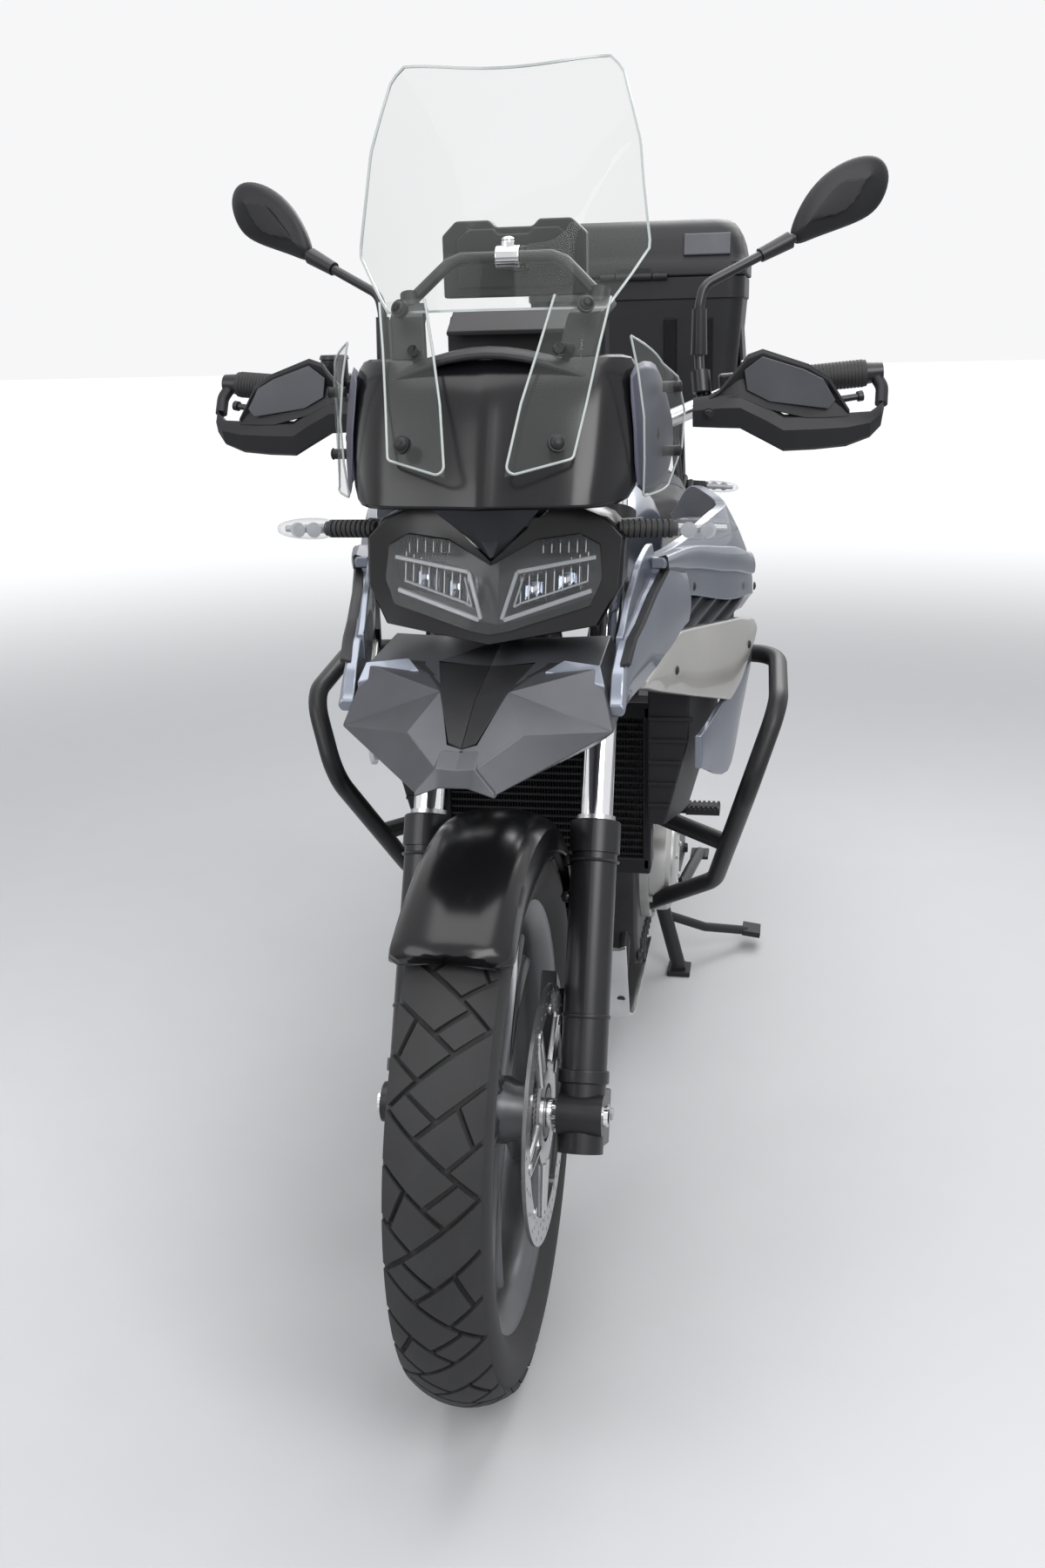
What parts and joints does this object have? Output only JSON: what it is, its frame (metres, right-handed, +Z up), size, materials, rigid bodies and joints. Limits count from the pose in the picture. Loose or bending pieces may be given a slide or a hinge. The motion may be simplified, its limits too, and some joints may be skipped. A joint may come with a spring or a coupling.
{
  "type": "adventure motorcycle",
  "caption": "Two-wheeled touring machine on its centre stand, with tall clear screen, crash bars, handguards and a rear top case; steering, wheels, stands and lids move.",
  "frame": {"origin": "on the floor, under the middle of the whole machine", "axes": "+X forward, +Y to the rider's left, +Z up"},
  "size_m": [2.3934, 0.8976, 1.503],
  "materials": {
    "tyre": "matte rubber",
    "wheel_silver": "satin silver paint",
    "disc_steel": "ground steel",
    "fork_black": "satin black",
    "chrome": "bright chrome",
    "bar_aluminium": "satin",
    "frame_black": "satin black",
    "engine_metal": "satin dark casting",
    "exhaust_steel": "brushed, heat toned",
    "black_plastic": "grained",
    "gloss_black": "gloss",
    "dark_grey": "semi matte",
    "silver_paint": "silver paint",
    "clear_screen": "clear sheet",
    "clear_lens": "clear lens",
    "red_lens": "gloss",
    "rubber": "ribbed",
    "seat_cover": "grained cover",
    "chain_steel": "oiled"
  },
  "bodies": {
    "chassis": {"engine": "engine_metal", "main_frame": "frame_black", "exhaust": "exhaust_steel", "radiator": "black_plastic", "skid_plate": "black_plastic", "crash_bars": "frame_black", "swingarm": "frame_black", "rear_axle": "chrome", "rear_shock": "frame_black", "drive_chain": "chain_steel", "fuel_tank": "silver_paint", "side_fairings": "silver_paint", "beak": "dark_grey", "headlamp_housing": "gloss_black", "headlamp_lens": "clear_lens", "front_cowl": "gloss_black", "windscreen": "clear_screen", "wind_deflectors": "clear_screen", "instrument_panel": "black_plastic", "screen_mount": "frame_black", "display_unit": "black_plastic", "rider_seat": "seat_cover", "passenger_seat": "seat_cover", "tail_fairings": "black_plastic", "luggage_rack": "frame_black", "top_case_base": "black_plastic", "tail_lamp": "red_lens", "plate_holder": "black_plastic", "indicators": "black_plastic", "footrests": "rubber"},
    "steering": {"fork_lowers": "fork_black", "fork_stanchions": "chrome", "triple_clamps": "frame_black", "front_axle": "chrome", "handlebar": "bar_aluminium", "grips": "rubber", "hand_controls": "black_plastic", "handguards": "black_plastic", "mirrors": "black_plastic", "front_mudguard": "black_plastic", "front_calipers": "frame_black"},
    "front_wheel": {"front_tyre": "tyre", "front_rim": "wheel_silver", "front_discs": "disc_steel"},
    "rear_wheel": {"rear_tyre": "tyre", "rear_rim": "wheel_silver", "rear_disc": "disc_steel", "rear_sprocket": "chain_steel"},
    "centre_stand": {"centre_stand": "frame_black"},
    "side_stand": {"side_stand": "frame_black"},
    "case_lid": {"top_case_lid": "black_plastic"},
    "filler_lid": {"fuel_cap": "chrome"}
  },
  "joints": [
    {"name": "steering_turn", "type": "hinge", "parent": "chassis", "child": "steering", "pos_m": [0.81711, 0, 0.3037], "axis": [-0.454, 0, 0.891], "range_deg": [-37, 37]},
    {"name": "front_wheel_spin", "type": "hinge", "parent": "steering", "child": "front_wheel", "pos_m": [0.86735, 0, 0.3293], "axis": [0, 1, 0], "continuous": true},
    {"name": "rear_wheel_spin", "type": "hinge", "parent": "chassis", "child": "rear_wheel", "pos_m": [-0.69165, 0, 0.3449], "axis": [0, 1, 0], "continuous": true},
    {"name": "centre_stand_fold", "type": "hinge", "parent": "chassis", "child": "centre_stand", "pos_m": [-0.28265, 0, 0.25], "axis": [0, 1, 0], "range_deg": [0, 65]},
    {"name": "side_stand_swing", "type": "hinge", "parent": "chassis", "child": "side_stand", "pos_m": [-0.03765, 0.161, 0.266], "axis": [0, -0.9135, -0.4067], "range_deg": [0, 93]},
    {"name": "case_lid_open", "type": "hinge", "parent": "chassis", "child": "case_lid", "pos_m": [-0.80865, 0, 1.3083], "axis": [0, 1, 0], "range_deg": [0, 85]},
    {"name": "filler_lid_open", "type": "hinge", "parent": "chassis", "child": "filler_lid", "pos_m": [0.27135, 0, 1.031], "axis": [0, 1, 0], "range_deg": [0, 80]}
  ]
}
